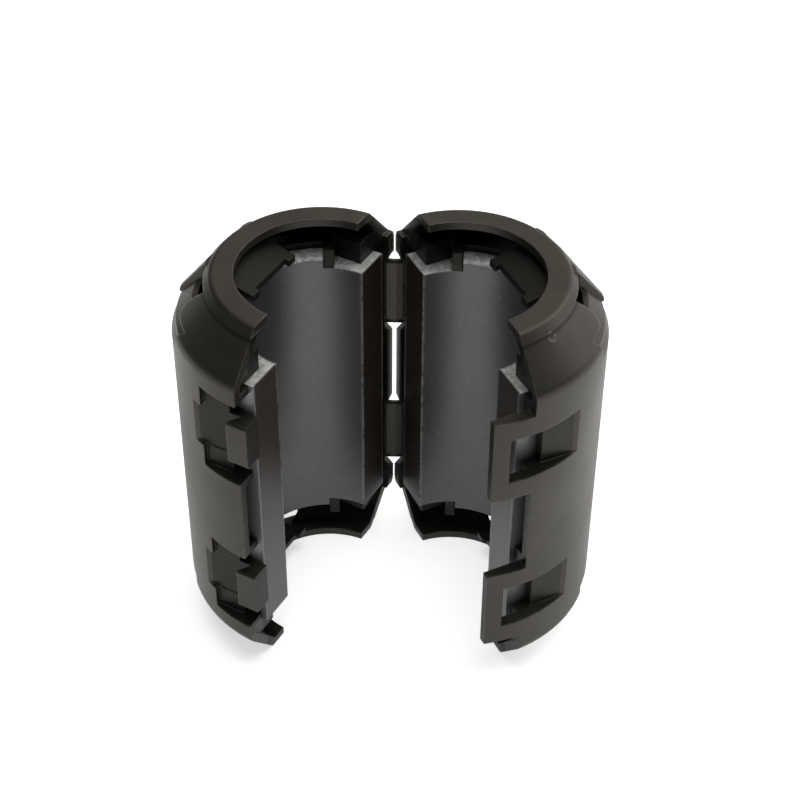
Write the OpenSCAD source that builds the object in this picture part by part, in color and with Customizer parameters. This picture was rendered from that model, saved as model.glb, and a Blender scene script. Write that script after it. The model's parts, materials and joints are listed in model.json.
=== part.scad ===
// Clip-on ferrite bead: a two-part ferrite sleeve in a hinged plastic snap case.
// Z is the cable axis, the case stands on one end, the hinge is at the back (+Y).

/* [Case] */
// Outside diameter of the closed case
case_d = 30.4; // [29.9:0.1:40]
// Length over the two end rings
case_len = 45.8; // [45:0.2:60]
// Angle between the two halves as the part stands open
open_angle = 55.4; // [30:0.2:110]
// Wall thickness of the case
wall_t = 1.0; // [0.8:0.05:1.3]
// Set-back of each plastic edge from the split plane
edge_gap = 0.6; // [0.4:0.05:0.9]
// Height of each tapered end
taper_h = 4.95; // [4.6:0.05:5.6]
// Rounding between the taper and the straight body
shoulder_r = 1.6; // [1.2:0.1:2.4]

/* [End rings] */
// Outside diameter of the end ring
ring_od = 21.3; // [20.4:0.1:22.4]
// Diameter of the cable hole in the end ring
ring_id = 17.3; // [14:0.1:18]
// Thickness of the end ring
ring_t = 0.9; // [0.7:0.05:1.1]
// Radius of the rounded outer edge of the ring
edge_round = 0.7; // [0.4:0.05:0.8]
// Set-back of the ring ends from the split plane
ring_gap = 0.65; // [0.6:0.05:1.2]

/* [Ferrite core] */
// Bore of the ferrite sleeve
core_id = 16.74; // [12:0.1:18.5]
// Outside diameter of the ferrite sleeve
core_od = 25.3; // [22:0.1:25.5]
// Length of the ferrite sleeve
core_len = 36.1; // [28:0.1:36.6]
// Depth of the relieved corners beside the split
corner_step = 1.3; // [0.8:0.1:1.8]
// Angle of each relieved corner, from the split plane
corner_angle = 29.5; // [20:0.5:36]
// Set-back of each ground ferrite face from the split plane
core_gap = 0.03; // [0.02:0.01:0.1]
// Edge bevel of the ferrite bore
core_bevel = 0.3; // [0.2:0.05:0.6]

/* [Core seats] */
// How far the end ledge reaches in over the ferrite end
ledge_cover = 2.4; // [1.6:0.1:3]
// Thickness of the end ledge at its inner edge
ledge_t = 0.85; // [0.5:0.05:1.1]
// Width of each locating prong in the relieved corner
prong_w = 1.1; // [0.8:0.05:1.6]
// Height of the locating prongs
prong_h = 2.2; // [1.6:0.1:2.8]
// Width of each corner block
block_w = 3.9; // [2.5:0.1:4.5]
// Height of each corner block
block_h = 2.65; // [1.8:0.05:3.2]
// Clearance between the ferrite and the plastic beside it
core_clear = 0.06; // [0.04:0.01:0.15]

/* [Snap latches] */
// Height of each latch centre from the middle of the case
latch_mid = 10.5; // [10.3:0.05:11]
// Width of each latch loop, along the case
loop_w = 10.2; // [8.8:0.1:10.6]
// Thickness of the loop at the split plane
loop_t = 1.35; // [1.2:0.05:1.6]
// Reach of the loop past the split plane
loop_reach = 3.7; // [3.3:0.1:4.4]
// Width of the loop window, along the case
window_w = 5.7; // [4.6:0.1:6.2]
// Width of the bar that closes the loop
bar_w = 1.6; // [1.3:0.1:1.9]
// Slant of the hooking faces, across the loop thickness
hook_lean = 0.9; // [0:0.05:1]
// Set-back of the window behind the split plane
window_back = 2.4; // [1.8:0.1:2.8]
// Width of the landing recess for the loop, from the split plane
landing_reach = 5.5; // [5:0.1:6]
// Step between the landing of the loop sides and the deeper scoop
landing_step = 0.1; // [0.05:0.05:0.4]
// Width of the pocket beside the catch, from the split plane
pocket_reach = 2.3; // [1.6:0.1:3]
// How far the catch stands out past the split plane
catch_out = 0.4; // [0:0.05:0.5]
// Bevel along the top and bottom of the catch
catch_bevel = 0.25; // [0.1:0.05:0.6]
// Running clearance around the closed latch
latch_clear = 0.15; // [0.1:0.01:0.3]

/* [Living hinge] */
// Height of each hinge strap centre from the middle of the case
strap_mid = 10.1; // [9.4:0.1:11]
// Width of each strap, along the case
strap_w = 8.6; // [6:0.1:9.2]
// Thickness of the strap where it folds
strap_t = 0.35; // [0.25:0.05:0.5]
// Thickness of the strap at its roots
strap_root_t = 0.5; // [0.4:0.05:0.7]
// Free span of each strap between the halves
strap_span = 2.0; // [1.6:0.1:2.6]
// Height of each hinge notch in the back edges
notch_w = 10.9; // [9.8:0.1:11.6]
// Bevel of the notch corners
notch_bevel = 0.9; // [0.5:0.1:1.2]
// Distance of the fold line behind the bore axis, past the case radius
fold_out = 0.06; // [0.02:0.01:0.2]
// Set-back of the back edges between the notches
back_gap = 0.2; // [0.1:0.02:0.4]
// Set-back of the back edges at the two ends
lug_gap = 0.04; // [0.03:0.01:0.2]

/* [Cable fingers] */
// Width of each finger at its tip
finger_w = 8; // [6:0.1:9]
// Width of the flap that carries the finger
flap_w = 8.4; // [8:0.1:9]
// Thickness of the flap
flap_t = 0.95; // [0.7:0.05:1.1]
// How far the flap's corners stand proud of the shoulder, beside the ring
flap_proud = 0.3; // [0.1:0.05:0.6]
// Thickness of the finger
finger_t = 0.75; // [0.5:0.05:1]
// Distance of the fingertip from the bore axis
tip_r = 5.45; // [4.6:0.05:7]
// Depth of the fingertip below the ring face
tip_drop = 2.8; // [2.5:0.05:3.1]
// Depth of the notch in the fingertip
tip_notch = 0.5; // [0.2:0.05:1]
// Width of each of the two tip prongs
tip_prong_w = 1.2; // [0.8:0.1:2]
// Gap between the finger and the end ring
finger_gap = 0.45; // [0.3:0.05:0.65]
// Width of the slot beside the flap
slot_w = 3.7; // [2.5:0.1:4]
// Height of the slot, below the end ring
slot_h = 2.2; // [1.5:0.1:2.5]
// Depth of the recess around the foot of the flap
recess_t = 0.45; // [0.2:0.05:0.55]
// Half angle of the recess
recess_half = 47; // [42:1:52]

/* [Hidden] */
$fn = 96;
tiny = 0.01;
far = 60;
half_open = open_angle / 2;
r_out = case_d / 2;
r_in = r_out - wall_t;
half_len = case_len / 2;
core_end = core_len / 2;
corner_end = core_end - corner_step;
fold_r = r_out + fold_out;
arc_steps = 6;

// Taper profile: rounded ring edge, straight cone, rounding into the body
edge_turn = 60;
edge_steps = 3;
ring_low_z = half_len - ring_t;
cone_top_r = ring_od / 2 + edge_round * sin(edge_turn);
cone_top_z = half_len - edge_round * (1 - cos(edge_turn));
cone_foot_z = half_len - taper_h;
cone_turn = atan2(r_out - cone_top_r, cone_top_z - cone_foot_z);
round_z = cone_foot_z - shoulder_r * tan(cone_turn / 2);

// Latch heights and depths, measured from the bore axis
plane_loop = r_out - loop_t;
plane_floor = plane_loop - latch_clear;
plane_pad = core_od / 2 + core_clear;
catch_w = window_w - 2 * latch_clear;
catch_reach = loop_reach - bar_w - latch_clear;
catch_top = r_out - latch_clear;
pad_w = loop_w + 2 * wall_t;

// Finger, flap and recess heights
finger_top = ring_low_z - finger_gap;
flap_top = ring_low_z + wall_t / 3;
slot_z = ring_low_z - slot_h;
recess_z = cone_foot_z + wall_t;
seat_r = core_od / 2 - ledge_cover;

// Fore-and-aft place of the fold line that centres the open part on the origin
loop_corner = sqrt(r_out * r_out - loop_reach * loop_reach);
front_y = -(loop_corner + fold_r) * cos(half_open) - loop_reach * sin(half_open);
back_y = r_out - fold_r * cos(half_open);
hinge_y = -(front_y + back_y) / 2;

case_black = [0.16, 0.16, 0.15];
ferrite_grey = [0.34, 0.35, 0.37];

// Upper half of the case outline, pulled in by "inset", from the ring to mid height
function taper_line(inset) =
  [for (i = [0 : arc_steps])
    let (a = cone_turn * (1 - i / arc_steps), r = shoulder_r - inset)
    [r_out - shoulder_r + r * cos(a), round_z + r * sin(a)]];

// Rounding of the ring's outer edge
ring_edge =
  [for (i = [0 : edge_steps])
    let (a = edge_turn * i / edge_steps)
    [ring_od / 2 + edge_round * sin(a), half_len - edge_round * (1 - cos(a))]];

function mirror_z(points) =
  [for (i = [len(points) - 1 : -1 : 0]) [points[i][0], -points[i][1]]];

// Solid of the case outline
module case_outline() {
  upper = concat(ring_edge, taper_line(0));
  rotate_extrude()
    polygon(concat([[0, half_len]], upper, mirror_z(upper), [[0, -half_len]]));
}

// Hollow of the case with the cable hole through both rings
module case_hollow() {
  cone_r = cone_top_r - wall_t * sin(90 - cone_turn);
  cone_z = cone_top_z - wall_t * sin(cone_turn);
  upper = concat([[ring_id / 2, half_len + 1], [ring_id / 2, ring_low_z],
                  [ring_od / 2 - wall_t, ring_low_z], [cone_r, cone_z]],
                 taper_line(wall_t));
  difference() {
    rotate_extrude()
      polygon(concat([[0, half_len + 1]], upper, mirror_z(upper), [[0, -half_len - 1]]));
    at_latches() translate([-far / 2, -far, -pad_w / 2])
      cube([far, far - plane_pad, pad_w]);
  }
}

// Places its children, made for the upper end, at both ends
module at_ends() {
  children();
  mirror([0, 0, 1]) children();
}

// Places its children, made for the back, at the back and the front
module at_sides() {
  children();
  mirror([0, 1, 0]) children();
}

// Places its children at the centre of each latch
module at_latches() {
  for (z = [-latch_mid, latch_mid])
    translate([0, 0, z]) children();
}

// Places its children, made in the open part's frame, back in the frame of one half
module in_open_frame() {
  translate([0, fold_r, 0]) rotate([0, 0, -half_open]) children();
}

// Everything past the split plane that a plain half loses
module split_cut() {
  back_y0 = r_in - wall_t;
  difference() {
    union() {
      translate([-far, -far / 2, -far / 2]) cube([far + edge_gap, far, far]);
      at_ends() translate([-far, -far / 2, ring_low_z]) cube([far + ring_gap, far, far]);
    }
    translate([back_gap, back_y0, -round_z]) cube([far, far, 2 * round_z]);
    at_ends() translate([lug_gap, back_y0, strap_mid + notch_w / 2 - tiny])
      cube([far, far, round_z - strap_mid - notch_w / 2 + wall_t]);
  }
}

// Notch in the back edge where a strap folds
module hinge_notch() {
  reach = strap_span / 2;
  half_w = notch_w / 2;
  in_open_frame() translate([0, far / 2, strap_mid]) rotate([90, 0, 0])
    linear_extrude(far / 2 + 2 * wall_t)
      polygon([[-reach, -half_w], [reach - notch_bevel, -half_w],
               [reach, notch_bevel - half_w], [reach, half_w - notch_bevel],
               [reach - notch_bevel, half_w], [-reach, half_w]]);
}

// Slots in the shoulder beside the flap, the opening that the flap fills, and the recess
// around its foot
module shoulder_cuts() {
  side = flap_w / 2;
  slot_side = side + slot_w;
  recess_side = r_out * sin(recess_half);
  foot_z = round_z + wall_t / 2;
  translate([ring_id / 2, 0, 0]) rotate([90, 0, 90]) linear_extrude(far)
    polygon([[-slot_side, slot_z], [wall_t / 4 - side, slot_z], [wall_t / 4 - side, foot_z],
             [side - wall_t / 4, foot_z], [side - wall_t / 4, slot_z], [slot_side, slot_z],
             [slot_side, ring_low_z], [-slot_side, ring_low_z]]);
  intersection() {
    rotate([90, 0, 90]) linear_extrude(far)
      polygon([[-recess_side, 0], [recess_side, 0], [recess_side, recess_z],
               [slot_side + wall_t, recess_z], [slot_side, slot_z + wall_t / 4],
               [-slot_side, slot_z + wall_t / 4], [-slot_side - wall_t, recess_z],
               [-recess_side, recess_z]]);
    rotate_extrude()
      polygon([[r_out, round_z - wall_t], [r_out - recess_t / 2, round_z - wall_t / 2],
               [r_out - recess_t, round_z + wall_t / 8],
               [r_out - recess_t * 1.1, cone_foot_z - wall_t / 8],
               [cone_top_r - recess_t, cone_top_z - recess_t], [far, half_len],
               [far, round_z - wall_t]]);
  }
}

// Flat flap in the shoulder, and the springy finger that leans from it into the cable hole
module cable_finger() {
  tip_top = half_len - tip_drop;
  knee_r = ring_id / 2 + wall_t;
  knee_top = finger_top - wall_t / 3;
  root_r = ring_od / 2 + wall_t / 2;
  half_tip = finger_w / 2;
  half_root = flap_w / 2;
  flap_r = cone_top_r - tiny;
  foot_r = r_out - recess_t - wall_t / 5;
  foot_z = cone_foot_z + wall_t / 8;
  intersection() {
    rotate([90, 0, 0]) linear_extrude(flap_w, center = true)
      polygon([[ring_od / 2 - wall_t / 3, flap_top], [flap_r, flap_top], [foot_r, foot_z],
               [foot_r + wall_t / 8, round_z + wall_t / 8],
               [r_in - wall_t / 5, round_z + wall_t / 8], [r_in - wall_t, foot_z],
               [root_r, finger_top - finger_t - flap_t], [knee_r, finger_top - finger_t - wall_t / 3],
               [knee_r, finger_top - wall_t / 5], [ring_od / 2 - wall_t / 3, finger_top]]);
    rotate_extrude()
      polygon([[0, 0], [r_out - wall_t / 8, 0], [r_out - wall_t / 8, cone_foot_z - wall_t / 4],
               [r_out - recess_t / 2, foot_z], [cone_top_r + flap_proud, cone_top_z],
               [0, cone_top_z]]);
  }
  intersection() {
    rotate([90, 0, 0]) linear_extrude(flap_w, center = true)
      polygon([[tip_r, tip_top - finger_t], [tip_r, tip_top], [knee_r, knee_top],
               [root_r, finger_top - wall_t / 8], [root_r, finger_top - finger_t - wall_t / 2],
               [knee_r, knee_top - finger_t]]);
    linear_extrude(half_len)
      polygon([[tip_r, -half_tip], [root_r, -half_root], [root_r, half_root],
               [tip_r, half_tip],
               [tip_r, half_tip - tip_prong_w], [tip_r + tip_notch, half_tip - tip_prong_w],
               [tip_r + tip_notch, tip_prong_w - half_tip], [tip_r, tip_prong_w - half_tip]]);
  }
}

// Sloping ledge that closes the end of the ferrite between its relieved corners
module core_ledge() {
  span = 90 - corner_angle;
  rotate([0, 0, -span]) rotate_extrude(angle = 2 * span)
    polygon([[seat_r, core_end], [core_od / 2 + 2 * core_clear, core_end],
             [r_in + wall_t / 8, core_end - wall_t], [r_out - wall_t / 2, core_end - wall_t],
             [r_out - wall_t / 2, core_end + ledge_t / 3], [seat_r, core_end + ledge_t]]);
}

// Prong that drops into the relieved corner of the ferrite
module core_prong() {
  rotate([0, 0, 90 - corner_angle])
    translate([core_id / 2 + core_clear, core_clear, corner_end + core_clear])
      cube([r_in - core_id / 2 + wall_t / 4, prong_w, prong_h]);
}

// Block that holds the relieved corner of the ferrite down, clear of the corner's cut face
module corner_block() {
  inner = seat_r - wall_t / 3;
  intersection() {
    translate([edge_gap + wall_t / 2, inner, corner_end])
      cube([block_w, r_in - inner, block_h]);
    rotate([0, 0, 90 - corner_angle]) translate([0, core_clear, 0])
      cube([far, far, far]);
  }
}

// Seats of the ferrite, kept inside the outline of the case
module core_seats() {
  intersection() {
    at_ends() {
      core_ledge();
      at_sides() {
        core_prong();
        corner_block();
      }
    }
    inset_outline(wall_t / 2);
  }
}

// Outline of the case pulled in by "inset"
module inset_outline(inset) {
  cone_r = cone_top_r - inset * sin(90 - cone_turn);
  cone_z = cone_top_z - inset * sin(cone_turn);
  upper = concat([[cone_r, cone_z]], taper_line(inset));
  rotate_extrude()
    polygon(concat([[0, cone_z]], upper, mirror_z(upper), [[0, -cone_z]]));
}

// Latch loops, window and thumb scoops, as the stock that the split cut leaves standing
module loop_keep() {
  at_latches() translate([-loop_reach, -far, -loop_w / 2])
    cube([loop_reach + edge_gap + tiny, far - plane_loop, loop_w]);
}

module loop_cuts() {
  bar_in = loop_reach - bar_w;
  at_latches() {
    translate([0, 0, -window_w / 2]) linear_extrude(window_w)
      polygon([[window_back, -plane_pad + wall_t], [window_back, -far], [-bar_in, -far],
               [-bar_in, -r_out], [hook_lean - bar_in, -plane_loop],
               [hook_lean - bar_in, -plane_pad + wall_t]]);
    translate([-bar_in + hook_lean, -far, -window_w / 2])
      cube([far, far - plane_floor, window_w]);
  }
}

// Catches that the loops snap over, bevelled along their top and bottom, rooted in the pads
module catch_keep() {
  half_w = catch_w / 2;
  hook_foot = catch_reach - hook_lean;
  scoop_floor = plane_floor - landing_step;
  at_latches() intersection() {
    translate([0, 0, -half_w]) linear_extrude(catch_w)
      polygon([[-catch_out, -plane_pad], [-catch_out, -catch_top], [catch_reach, -catch_top],
               [hook_foot, -plane_floor], [hook_foot, -scoop_floor],
               [catch_reach + wall_t, -(plane_pad + scoop_floor) / 2],
               [catch_reach + wall_t, -plane_pad]]);
    rotate([90, 0, 90]) linear_extrude(far, center = true)
      polygon([[-plane_pad, -half_w], [catch_bevel - catch_top, -half_w],
               [-catch_top, catch_bevel - half_w], [-catch_top, half_w - catch_bevel],
               [catch_bevel - catch_top, half_w], [-plane_pad, half_w]]);
  }
}

// Recess that the closed loops lie in, the scoop beside it and the pockets beside the catch
module landing_cuts() {
  landing_w = loop_w + 2 * latch_clear;
  at_latches() {
    translate([0, -far, -landing_w / 2]) cube([landing_reach, far - plane_floor, landing_w]);
    translate([0, -far, -catch_w / 2])
      cube([far, far - plane_floor + landing_step, catch_w]);
    for (side = [-1, 1])
      translate([0, -far, side * (landing_w + catch_w) / 4 - (landing_w - catch_w) / 4])
        cube([pocket_reach, far - plane_pad + wall_t, (landing_w - catch_w) / 2]);
  }
}

// One half of the case, hinge edge at +Y, opening edge at -Y, split plane at X = 0
module plain_half() {
  difference() {
    case_outline();
    case_hollow();
    at_ends() hinge_notch();
    at_ends() shoulder_cuts();
  }
}

module latch_half() {
  difference() {
    plain_half();
    difference() {
      split_cut();
      loop_keep();
    }
    loop_cuts();
  }
  core_seats();
  at_ends() cable_finger();
}

module catch_half() {
  difference() {
    plain_half();
    split_cut();
    landing_cuts();
  }
  catch_keep();
  core_seats();
  at_ends() cable_finger();
}

// Half of the ferrite sleeve, ground face beside the split plane
module core_half() {
  bore = core_id / 2;
  difference() {
    rotate([0, 0, -90]) rotate_extrude(angle = 180)
      polygon([[bore, core_bevel - core_end], [bore + core_bevel, -core_end],
               [core_od / 2, -core_end], [core_od / 2, core_end],
               [bore + core_bevel, core_end], [bore, core_end - core_bevel]]);
    translate([-far, -far / 2, -far / 2]) cube([far + core_gap, far, far]);
    at_ends() at_sides() rotate([0, 0, 90 - corner_angle])
      translate([0, 0, corner_end]) cube([far, far, far]);
  }
}

// Puts a half, made closed, in its open place: turned about the fold line
module place_half() {
  translate([0, hinge_y, half_len]) rotate([0, 0, half_open])
    translate([0, -fold_r, 0]) children();
}

module latch_shell() {
  color(case_black) place_half() latch_half();
}

module catch_shell() {
  color(case_black) mirror([1, 0, 0]) place_half() catch_half();
}

module latch_core() {
  color(ferrite_grey) place_half() core_half();
}

module catch_core() {
  color(ferrite_grey) mirror([1, 0, 0]) place_half() core_half();
}

// Thin strap that folds between the two halves
module strap(z_mid) {
  reach = strap_span / 2;
  back = strap_root_t - strap_t;
  color(case_black) translate([0, hinge_y, half_len + z_mid - strap_w / 2])
    linear_extrude(strap_w)
      polygon([[-reach, -strap_t / 2], [-reach, strap_root_t - strap_t / 2],
               [-reach / 3, strap_t / 2], [reach / 3, strap_t / 2],
               [reach, strap_root_t - strap_t / 2], [reach, -strap_t / 2]]);
}

module hinge_strap_upper() {
  strap(strap_mid);
}

module hinge_strap_lower() {
  strap(-strap_mid);
}

catch_shell();
latch_shell();
catch_core();
latch_core();
hinge_strap_upper();
hinge_strap_lower();
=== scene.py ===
"""Looks of the clip-on ferrite bead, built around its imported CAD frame.

Everything is in metres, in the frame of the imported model: +Z is the cable axis,
the hinge is at the back (+Y) and the case stands open on one end.
"""

import json
import math

import bmesh
import bpy
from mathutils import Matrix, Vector


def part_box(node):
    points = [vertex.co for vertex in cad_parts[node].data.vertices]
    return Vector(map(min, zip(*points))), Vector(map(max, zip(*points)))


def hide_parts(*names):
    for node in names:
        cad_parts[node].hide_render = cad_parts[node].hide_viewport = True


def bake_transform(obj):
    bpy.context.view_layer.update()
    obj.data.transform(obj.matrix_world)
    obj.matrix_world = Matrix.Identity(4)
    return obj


MM = 0.001
UP = (0, 0, 1)
WHITE = (1, 1, 1, 1)

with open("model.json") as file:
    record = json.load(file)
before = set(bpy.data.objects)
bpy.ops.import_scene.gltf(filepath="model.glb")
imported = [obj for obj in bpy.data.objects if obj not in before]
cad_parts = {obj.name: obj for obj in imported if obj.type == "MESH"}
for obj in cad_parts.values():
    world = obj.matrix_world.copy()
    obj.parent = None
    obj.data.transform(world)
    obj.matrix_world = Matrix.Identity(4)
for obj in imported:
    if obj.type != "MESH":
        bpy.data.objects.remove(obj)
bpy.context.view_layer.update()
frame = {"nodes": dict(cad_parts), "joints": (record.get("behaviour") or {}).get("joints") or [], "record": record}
JOINT = frame["joints"][0]
HALF_OPEN = math.radians(JOINT["range_deg"][1] / 2)
MOUNTS = {mount["name"]: mount for mount in frame["record"]["mounts"]}
SIDES = {"catch": -1, "latch": 1}


# ---------------------------------------------------------------- node helpers

BEVEL_SAMPLES = 6
EDGE_TURN = (0.97, 0.72)  # agreement of soft and flat normals, open surface to corner


def grey(level):
    return (level, level, level, 1)


class Nodes:
    """A node tree with short calls for the nodes used here."""

    def __init__(self, owner, output="ShaderNodeOutputMaterial"):
        self.owner = owner
        owner.use_nodes = True
        self.tree = owner.node_tree
        self.tree.nodes.clear()
        self.out = self.add(output)
        self.place = self.add("ShaderNodeTexCoord").outputs["Object"]

    def add(self, kind, **values):
        node = self.tree.nodes.new(kind)
        for key, value in values.items():
            setattr(node, key, value)
        return node

    def link(self, source, target):
        """Join a node's output to an input, or set the input to a plain value."""
        if hasattr(source, "is_output"):
            self.tree.links.new(source, target)
        else:
            target.default_value = source

    def noise(self, per_mm, detail, rough, stretch=None, distort=0.0):
        """Noise over the object's own place, with so many features a millimetre."""
        place = self.place
        if stretch:
            mapping = self.add("ShaderNodeMapping")
            mapping.inputs["Scale"].default_value = stretch
            self.link(place, mapping.inputs["Vector"])
            place = mapping.outputs["Vector"]
        node = self.add("ShaderNodeTexNoise")
        self.link(place, node.inputs["Vector"])
        node.inputs["Scale"].default_value = per_mm / MM
        node.inputs["Detail"].default_value = detail
        node.inputs["Roughness"].default_value = rough
        node.inputs["Distortion"].default_value = distort
        return node.outputs["Fac"]

    def cells(self, per_mm):
        """Distance from the nearest of many scattered points."""
        node = self.add("ShaderNodeTexVoronoi")
        self.link(self.place, node.inputs["Vector"])
        node.inputs["Scale"].default_value = per_mm / MM
        return node.outputs["Distance"]

    def steps(self, source, low, high, start=0.0, end=1.0):
        """source taken smoothly from low..high to start..end."""
        node = self.add("ShaderNodeMapRange", interpolation_type="SMOOTHSTEP")
        self.link(source, node.inputs["Value"])
        node.inputs["From Min"].default_value = low
        node.inputs["From Max"].default_value = high
        node.inputs["To Min"].default_value = start
        node.inputs["To Max"].default_value = end
        return node.outputs["Result"]

    def math(self, operation, a, b=0.0):
        node = self.add("ShaderNodeMath", operation=operation)
        self.link(a, node.inputs[0])
        self.link(b, node.inputs[1])
        return node.outputs[0]

    def all_of(self, first, *others):
        """Product of masks and shares."""
        for other in others:
            first = self.math("MULTIPLY", first, other)
        return first

    def mix(self, share, a, b):
        """Colour a, going to colour b by share."""
        node = self.add("ShaderNodeMix", data_type="RGBA")
        self.link(share, node.inputs[0])
        self.link(a, node.inputs[6])
        self.link(b, node.inputs[7])
        return node.outputs[2]

    def axes(self):
        node = self.add("ShaderNodeSeparateXYZ")
        self.link(self.place, node.inputs[0])
        return node.outputs

    def dot(self, a, b):
        node = self.add("ShaderNodeVectorMath", operation="DOT_PRODUCT")
        self.link(a, node.inputs[0])
        self.link(b, node.inputs[1])
        return node.outputs["Value"]

    def plane(self, point, normal):
        """Distance in millimetres from a plane, on the side its normal points to."""
        normal = Vector(normal)
        along = self.dot(self.place, tuple(normal / MM))
        return self.math("SUBTRACT", along, Vector(point).dot(normal) / MM)

    def axis_distance(self, point):
        """Distance in millimetres from a vertical line."""
        x, y, _ = self.axes()
        dx = self.math("SUBTRACT", x, point[0])
        dy = self.math("SUBTRACT", y, point[1])
        squares = self.math("ADD", self.all_of(dx, dx), self.all_of(dy, dy))
        return self.math("DIVIDE", self.math("SQRT", squares), MM)

    def point_distance(self, point):
        """Distance in millimetres from a point."""
        node = self.add("ShaderNodeVectorMath", operation="DISTANCE")
        self.link(self.place, node.inputs[0])
        node.inputs[1].default_value = tuple(point)
        return self.math("DIVIDE", node.outputs["Value"], MM)

    def bump(self, height, depth_mm, normal):
        node = self.add("ShaderNodeBump")
        self.link(height, node.inputs["Height"])
        node.inputs["Distance"].default_value = depth_mm * MM
        node.inputs["Strength"].default_value = 1.0
        self.link(normal, node.inputs["Normal"])
        return node.outputs["Normal"]

    def soft_edges(self, radius_mm):
        node = self.add("ShaderNodeBevel", samples=BEVEL_SAMPLES)
        node.inputs["Radius"].default_value = radius_mm * MM
        return node.outputs["Normal"]

    def edge_mask(self, radius_mm):
        """About 0 on open surfaces and 1 where the shape turns a corner."""
        flat = self.add("ShaderNodeNewGeometry").outputs["Normal"]
        return self.steps(self.dot(self.soft_edges(radius_mm), flat), *EDGE_TURN)

    def principled(self, color, roughness, normal, ior, specular, tint=WHITE):
        shader = self.add("ShaderNodeBsdfPrincipled")
        self.link(color, shader.inputs["Base Color"])
        self.link(roughness, shader.inputs["Roughness"])
        self.link(normal, shader.inputs["Normal"])
        self.link(specular, shader.inputs["Specular IOR Level"])
        shader.inputs["IOR"].default_value = ior
        shader.inputs["Specular Tint"].default_value = tint
        self.link(shader.outputs[0], self.out.inputs["Surface"])
        return self.owner


# ------------------------------------------------------------ places on a half


def bore_axis(side):
    return Vector(MOUNTS[f"cable_seat_{side}"]["pos_m"])


def outward(side):
    """Direction away from a half's split plane."""
    return Vector((SIDES[side] * math.cos(HALF_OPEN), math.sin(HALF_OPEN), 0))


def spot(side, out, fore, up):
    """Point in millimetres from a half's bore axis: off its split plane, forward and up."""
    forward = Vector((SIDES[side] * math.sin(HALF_OPEN), -math.cos(HALF_OPEN), 0))
    return bore_axis(side) + MM * (out * outward(side) + fore * forward + up * Vector(UP))


# ---------------------------------------------------------------- case plastic
# Radii are in millimetres from a half's bore axis, and heights from its middle.
# A pair of numbers for a mask is where it starts and where it is full.

BLACK = (0.009, 0.0085, 0.0075, 1)
BLACK_PALE = (0.017, 0.016, 0.0135, 1)
# pale grey for scrapes, the scuff and rubbed edges; on the edges it is also a painted highlight
BLACK_WORN_AND_HIGHLIGHT = (0.130, 0.126, 0.112, 1)
# painted shade for the end hollows under the ring
PAINTED_SHADE_INSIDE = (0.006, 0.006, 0.0055, 1)

OUTER_SKIN_R = 15.0
WALL_HALF_HEIGHT = 17.6
END_HOLLOW_R = 12.2
RING_UNDERSIDE = 22.0
SCUFF_SPOT = (4.1, 11.35, 21.6)
SCUFF_R = 0.42

MOTTLE = (0.35, 0.70)
SCRAPES = (0.66, 0.78)
SCRAPE_SHARE = 0.35
RUBBED_AND_HIGHLIT_EDGE_R = 0.26
RUBBED_AND_HIGHLIT = (0.37, 0.58)
RUBBED_AND_HIGHLIT_SHARE = 0.9
SCUFF_WIDTH = (0.20, 0.04)
SCUFF_BROKEN = (0.42, 0.58)
SCUFF_SHARE = 0.8
CLOUD = (0.3, 0.7)
SATIN_ROUGHNESS = (0.34, 0.46)  # the least and the most, as the cloud changes
MOTTLE_DEPTH = 0.05
GRAIN_DEPTH = 0.004
EDGE_SOFTNESS = 0.20

PLASTIC_IOR = 1.53
WARM_SHEEN = (1.0, 0.93, 0.82, 1)
OPEN_SHEEN = 0.5
RECESS_SHEEN = {"catch": 0.23, "latch": 0.31}
HOLLOW_SHEEN_SHARE = 0.45


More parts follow.
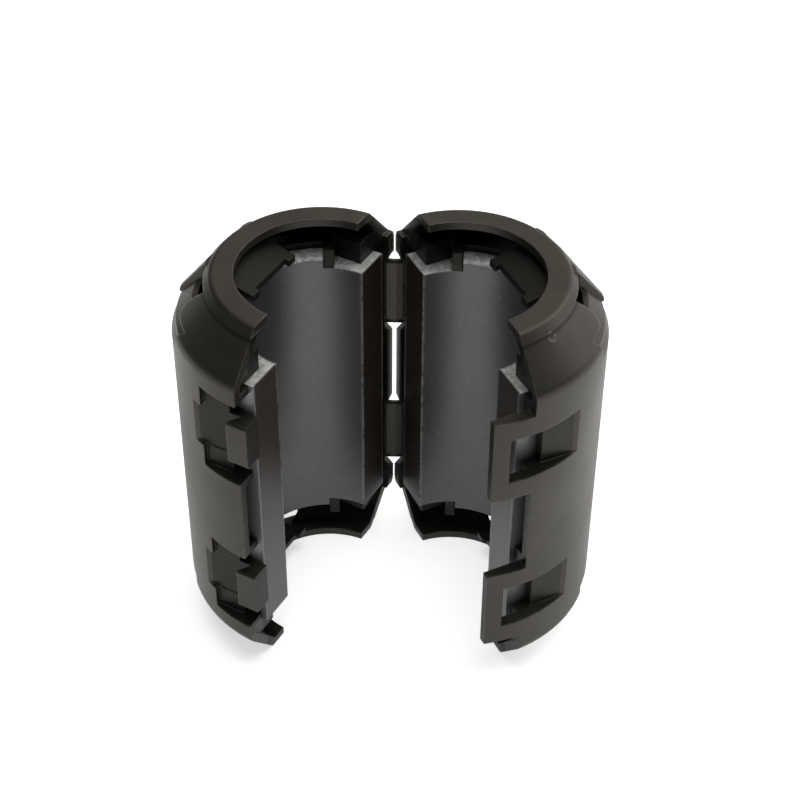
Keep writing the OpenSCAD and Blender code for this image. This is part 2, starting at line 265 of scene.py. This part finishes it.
def case_plastic(side):
    """Black moulded nylon: satin outside, duller in recesses, painted shade in the end hollows, paler on rubbed
    edges with a painted highlight.
    """
    n = Nodes(bpy.data.materials.new(f"case_plastic_{side}"))
    axis = bore_axis(side)
    from_axis = n.axis_distance(axis)
    from_middle = n.math("ABSOLUTE", n.plane(axis, UP))

    mottle = n.noise(0.22, detail=3, rough=0.6)
    color = n.mix(n.steps(mottle, *MOTTLE), BLACK, BLACK_PALE)
    scrapes = n.noise(1.1, detail=5, rough=0.7, stretch=(1.0, 1.0, 0.22), distort=0.6)
    scrapes = n.all_of(n.steps(scrapes, *SCRAPES), SCRAPE_SHARE)
    color = n.mix(scrapes, color, BLACK_WORN_AND_HIGHLIGHT)
    # Pale rubbed edges: real wear, and also a painted highlight where light catches the edges.
    rubbed_and_highlit = n.steps(n.noise(0.7, detail=4, rough=0.7), *RUBBED_AND_HIGHLIT)
    rubbed_and_highlit = n.all_of(n.edge_mask(RUBBED_AND_HIGHLIT_EDGE_R), rubbed_and_highlit, RUBBED_AND_HIGHLIT_SHARE)
    color = n.mix(rubbed_and_highlit, color, BLACK_WORN_AND_HIGHLIGHT)
    if side == "latch":
        off_ring = n.math("SUBTRACT", n.point_distance(spot(side, *SCUFF_SPOT)), SCUFF_R)
        scuff = n.steps(n.math("ABSOLUTE", off_ring), *SCUFF_WIDTH)
        broken = n.steps(n.noise(1.9, detail=3, rough=0.7), *SCUFF_BROKEN)
        color = n.mix(n.all_of(scuff, broken, SCUFF_SHARE), color, BLACK_WORN_AND_HIGHLIGHT)
    # Painted shade: the end hollows under the ring are coloured darker and given a weaker sheen, where shade falls
    # inside the case.
    shaded_hollow = n.all_of(
        n.steps(from_axis, END_HOLLOW_R, END_HOLLOW_R - 0.4),
        n.steps(from_middle, RING_UNDERSIDE, RING_UNDERSIDE - 0.2),
        n.steps(from_middle, WALL_HALF_HEIGHT - 0.3, WALL_HALF_HEIGHT),
    )
    color = n.mix(shaded_hollow, color, PAINTED_SHADE_INSIDE)

    recessed = n.all_of(
        n.steps(from_axis, OUTER_SKIN_R, OUTER_SKIN_R - 0.1),
        n.steps(from_middle, WALL_HALF_HEIGHT, WALL_HALF_HEIGHT - 0.3),
    )
    sheen = n.all_of(
        n.steps(recessed, 0.0, 1.0, OPEN_SHEEN, RECESS_SHEEN[side]),
        n.steps(shaded_hollow, 0.0, 1.0, 1.0, HOLLOW_SHEEN_SHARE),
    )
    roughness = n.steps(n.noise(0.05, detail=2, rough=0.5), *CLOUD, *SATIN_ROUGHNESS)
    normal = n.bump(mottle, MOTTLE_DEPTH, n.soft_edges(EDGE_SOFTNESS))
    normal = n.bump(n.noise(9.0, detail=2, rough=0.55), GRAIN_DEPTH, normal)
    return n.principled(color, roughness, normal, PLASTIC_IOR, sheen, WARM_SHEEN)


# --------------------------------------------------------------------- ferrite
# Sizes are in millimetres. A pair of numbers is where a mask starts and where it is full.

FERRITE = (0.045, 0.047, 0.051, 1)
FERRITE_DARK = (0.028, 0.029, 0.032, 1)
FERRITE_PALE = (0.20, 0.20, 0.195, 1)
FERRITE_OUTSIDE = (0.17, 0.175, 0.185, 1)
# painted highlight for the ends, which face the overhead light
FERRITE_END_PAINTED_LIGHT = (0.46, 0.46, 0.45, 1)
FERRITE_GROUND = (0.030, 0.023, 0.018, 1)

BORE_R = 8.37
OUTSIDE_R = 12.65
CORNER_STEP = 1.3

CLOUDS = (0.35, 0.65)
SPECKS = (0.58, 0.72)
SPECK_SHARE = 0.5
PITS = (0.10, 0.05)
PIT_SHARE = 0.6
GROUND_FACE = (0.12, 0.06)
END_FACE = (0.40, 0.25)
END_GRAIN_HIGHLIGHT = (0.4, 0.6, 0.45, 1.0)  # the grain's share of the painted highlight: the same, then the least and the most share
STEP_LINE = (0.06, 0.02)
CHIP_DEPTH = (0.42, 0.1)
CHIP_WIDTH = (0.34, 0.1)
CHIPPED = (0.36, 0.55)
CHIP_SHARE = 0.8
SPECK_DEPTH = 0.010
END_DEPTH = 0.12
CORE_EDGE_SOFTNESS = 0.18

BORE_ROUGHNESS = 0.40
END_ROUGHNESS = 0.6
GROUND_ROUGHNESS = 0.3
FERRITE_IOR = 1.95
FERRITE_SHEEN = 0.5
GROUND_SHEEN = 0.32


def ferrite(side):
    """Sintered ferrite: smooth speckled grey bore, ground mating faces, granular ends with a painted highlight."""
    n = Nodes(bpy.data.materials.new(f"ferrite_{side}"))
    axis = bore_axis(side)
    low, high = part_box(f"{side}_core")
    from_split = n.plane(axis, outward(side))
    from_axis = n.axis_distance(axis)
    height = n.math("DIVIDE", n.axes()[2], MM)
    above_foot = n.math("SUBTRACT", height, low.z / MM)
    below_top = n.math("SUBTRACT", high.z / MM, height)
    to_end = n.math("MINIMUM", above_foot, below_top)

    cloud = n.noise(0.12, detail=3, rough=0.5)
    color = n.mix(n.steps(cloud, *CLOUDS), FERRITE_DARK, FERRITE)
    speckle = n.noise(3.2, detail=3, rough=0.7)
    specks = n.all_of(n.steps(speckle, *SPECKS), SPECK_SHARE)
    color = n.mix(specks, color, FERRITE_PALE)
    pits = n.all_of(n.steps(n.cells(0.55), *PITS), PIT_SHARE)
    color = n.mix(pits, color, FERRITE_DARK)
    ground = n.steps(from_split, *GROUND_FACE)
    color = n.mix(ground, color, FERRITE_GROUND)
    outside = n.steps(from_axis, OUTSIDE_R - 0.3, OUTSIDE_R - 0.1)
    color = n.mix(outside, color, FERRITE_OUTSIDE)
    # Painted light: the ends and the top of the corner step, facing up to the overhead light, are coloured far
    # paler than the ferrite, in granular highlights.
    off_step = n.math("ABSOLUTE", n.math("SUBTRACT", to_end, CORNER_STEP))
    step = n.all_of(
        n.steps(off_step, *STEP_LINE),
        n.steps(from_axis, BORE_R + 0.1, BORE_R + 0.25),
        n.steps(from_split, 0.1, 0.25),
    )
    end = n.math("MAXIMUM", n.steps(to_end, *END_FACE), step)
    grain = n.noise(1.6, detail=3, rough=0.8)
    color = n.mix(n.all_of(end, n.steps(grain, *END_GRAIN_HIGHLIGHT)), color, FERRITE_END_PAINTED_LIGHT)
    off_bore = n.math("ABSOLUTE", n.math("SUBTRACT", from_axis, BORE_R))
    chips = n.all_of(
        n.steps(from_split, *CHIP_DEPTH),
        n.steps(off_bore, *CHIP_WIDTH),
        n.steps(n.noise(1.3, detail=4, rough=0.7), *CHIPPED),
        CHIP_SHARE,
    )
    color = n.mix(chips, color, FERRITE_PALE)

    roughness = n.mix(end, grey(BORE_ROUGHNESS), grey(END_ROUGHNESS))
    roughness = n.mix(ground, roughness, grey(GROUND_ROUGHNESS))
    sheen = n.steps(ground, 0.0, 1.0, FERRITE_SHEEN, GROUND_SHEEN)
    normal = n.bump(speckle, SPECK_DEPTH, n.soft_edges(CORE_EDGE_SOFTNESS))
    normal = n.bump(n.all_of(end, grain), END_DEPTH, normal)
    return n.principled(color, roughness, normal, FERRITE_IOR, sheen)


def paint(obj, material):
    obj.data.materials.clear()
    obj.data.materials.append(material)
    for face in obj.data.polygons:
        face.material_index = 0


# -------------------------------------------------------------- visible pieces


def mesh_piece(name, points, faces, material, smooth=True):
    mesh = bpy.data.meshes.new(name)
    mesh.from_pydata(points, [], faces)
    piece = bpy.data.objects.new(name, mesh)
    bpy.context.scene.collection.objects.link(piece)
    builder = bmesh.new()
    builder.from_mesh(mesh)
    bmesh.ops.recalc_face_normals(builder, faces=builder.faces)
    builder.to_mesh(mesh)
    builder.free()
    for face in mesh.polygons:
        face.use_smooth = smooth
    mesh.materials.append(material)
    return piece


FILM_COLUMNS, FILM_ROWS = 24, 12
FILM_THIN, FILM_THICK = 0.15 * MM, 0.24 * MM  # half thickness at the fold and the roots
FILM_FLARE = 2.5
FILM_SAG = 0.10 * MM
FILM_SET_FORWARD = 0.08 * MM


def film_hinge(node, material):
    """Thin strap from one half to the other, bowed a little and thicker at both roots."""
    low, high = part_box(node)
    middle_y = (low.y + high.y) / 2 - FILM_SET_FORWARD
    half_span = (high.x - low.x) / 2
    points, faces = [], []
    for side in (-1, 1):
        for row in range(FILM_ROWS + 1):
            z = low.z + (high.z - low.z) * row / FILM_ROWS
            for column in range(FILM_COLUMNS + 1):
                t = 2 * column / FILM_COLUMNS - 1
                half_t = FILM_THIN + (FILM_THICK - FILM_THIN) * abs(t) ** FILM_FLARE
                sag = FILM_SAG * (1 - t * t)
                points.append((half_span * t, middle_y - sag + side * half_t, z))
    wide = FILM_COLUMNS + 1
    layer = wide * (FILM_ROWS + 1)
    for row in range(FILM_ROWS):
        for column in range(FILM_COLUMNS):
            a = row * wide + column
            b = layer + a
            faces.append((a, a + 1, a + 1 + wide, a + wide))
            faces.append((b, b + wide, b + wide + 1, b + 1))
    rim = list(range(wide))
    rim += [row * wide + FILM_COLUMNS for row in range(1, FILM_ROWS + 1)]
    rim += [FILM_ROWS * wide + column for column in range(FILM_COLUMNS - 1, -1, -1)]
    rim += [row * wide for row in range(FILM_ROWS - 1, 0, -1)]
    for a, b in zip(rim, rim[1:] + rim[:1]):
        faces.append((a, b, layer + b, layer + a))
    piece = mesh_piece(f"{node}_film", points, faces, material)
    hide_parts(node)
    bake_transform(piece)


# ------------------------------------------------------- floor, light, camera

FLOOR_COLOR = grey(0.86)
FLOOR_REACH = 3.0
FLOOR_SEEN_GLOW = 0.62
FLOOR_GLOSS_GLOW = 0.30


def floor_material():
    """Pale floor that shows white to the camera and in gloss, and keeps a soft shadow."""
    n = Nodes(bpy.data.materials.new("floor_white"))
    path = n.add("ShaderNodeLightPath")
    seen = n.all_of(path.outputs["Is Camera Ray"], FLOOR_SEEN_GLOW)
    gloss = n.all_of(path.outputs["Is Glossy Ray"], FLOOR_GLOSS_GLOW)
    plain = n.add("ShaderNodeBsdfDiffuse")
    plain.inputs["Color"].default_value = FLOOR_COLOR
    glow = n.add("ShaderNodeEmission")
    glow.inputs["Color"].default_value = WHITE
    n.link(n.math("ADD", seen, gloss), glow.inputs["Strength"])
    both = n.add("ShaderNodeAddShader")
    n.link(plain.outputs[0], both.inputs[0])
    n.link(glow.outputs[0], both.inputs[1])
    n.link(both.outputs[0], n.out.inputs["Surface"])
    return n.owner


def build_floor():
    corners = ((-1, -1), (1, -1), (1, 1), (-1, 1))
    points = [(FLOOR_REACH * x, FLOOR_REACH * y, 0) for x, y in corners]
    floor = mesh_piece("floor", points, [(0, 1, 2, 3)], floor_material(), smooth=False)


ROOM_TINT = (1.0, 0.95, 0.86, 1)
ROOM_DIM = 0.07
ROOM_BRIGHT = 0.80
ROOM_BRIGHT_SIDE = (0.50, 0.65, 0.57)
ROOM_SPREAD = (0.35, 1.0)


def build_world():
    """White to the camera; a dim warm room, brighter on the right, to everything else."""
    world = bpy.data.worlds.new("studio")
    bpy.context.scene.world = world
    n = Nodes(world, "ShaderNodeOutputWorld")
    toward = n.dot(n.place.node.outputs["Generated"], ROOM_BRIGHT_SIDE)
    path = n.add("ShaderNodeLightPath")
    seen = n.add("ShaderNodeBackground")
    light = n.add("ShaderNodeBackground")
    both = n.add("ShaderNodeMixShader")
    seen.inputs["Color"].default_value = WHITE
    seen.inputs["Strength"].default_value = 1.0
    light.inputs["Color"].default_value = ROOM_TINT
    level = n.steps(toward, *ROOM_SPREAD, ROOM_DIM, ROOM_BRIGHT)
    n.link(level, light.inputs["Strength"])
    n.link(path.outputs["Is Camera Ray"], both.inputs[0])
    n.link(light.outputs[0], both.inputs[1])
    n.link(seen.outputs[0], both.inputs[2])
    n.link(both.outputs[0], n.out.inputs["Surface"])


# Name, place, side length in metres and power in watts
LAMPS = (
    ("overhead", (0.05, -0.10, 1.0), 0.7, 6.5),
    ("side", (0.70, 0.30, 0.50), 0.6, 2.5),
)
LAMP_TARGET = Vector((0, 0, 0.02))


def build_lamp(name, place, size, power):
    data = bpy.data.lights.new(name, "AREA")
    data.shape = "RECTANGLE"
    data.size = data.size_y = size
    data.energy = power
    lamp = bpy.data.objects.new(name, data)
    bpy.context.scene.collection.objects.link(lamp)
    lamp.location = place
    direction = LAMP_TARGET - Vector(place)
    lamp.rotation_euler = direction.to_track_quat("-Z", "Y").to_euler()


CAMERA_PLACE = (5.467 * MM, -153.819 * MM, 161.790 * MM)
CAMERA_ELEVATION = 41.768
CAMERA_AZIMUTH = 2.238
CAMERA_LENS = 86.47
CAMERA_SENSOR = 36
CAMERA_SHIFT = (0.0189, 0.0378)
CAMERA_NEAR = 0.01


def build_camera():
    data = bpy.data.cameras.new("camera")
    data.lens = CAMERA_LENS
    data.sensor_width = CAMERA_SENSOR
    data.shift_x, data.shift_y = CAMERA_SHIFT
    data.clip_start = CAMERA_NEAR
    camera = bpy.data.objects.new("camera", data)
    bpy.context.scene.collection.objects.link(camera)
    camera.location = CAMERA_PLACE
    tilt, turn = math.radians(90 - CAMERA_ELEVATION), math.radians(CAMERA_AZIMUTH)
    camera.rotation_euler = (tilt, 0, turn)
    bpy.context.scene.camera = camera


# ------------------------------------------------------------------------ main

for side in SIDES:
    paint(frame["nodes"][f"{side}_shell"], case_plastic(side))
    paint(frame["nodes"][f"{side}_core"], ferrite(side))
for strap in ("hinge_strap_upper", "hinge_strap_lower"):
    film_hinge(strap, bpy.data.materials["case_plastic_latch"])

build_floor()
build_world()
for lamp in LAMPS:
    build_lamp(*lamp)
build_camera()
bpy.context.scene.view_settings.view_transform = "Standard"
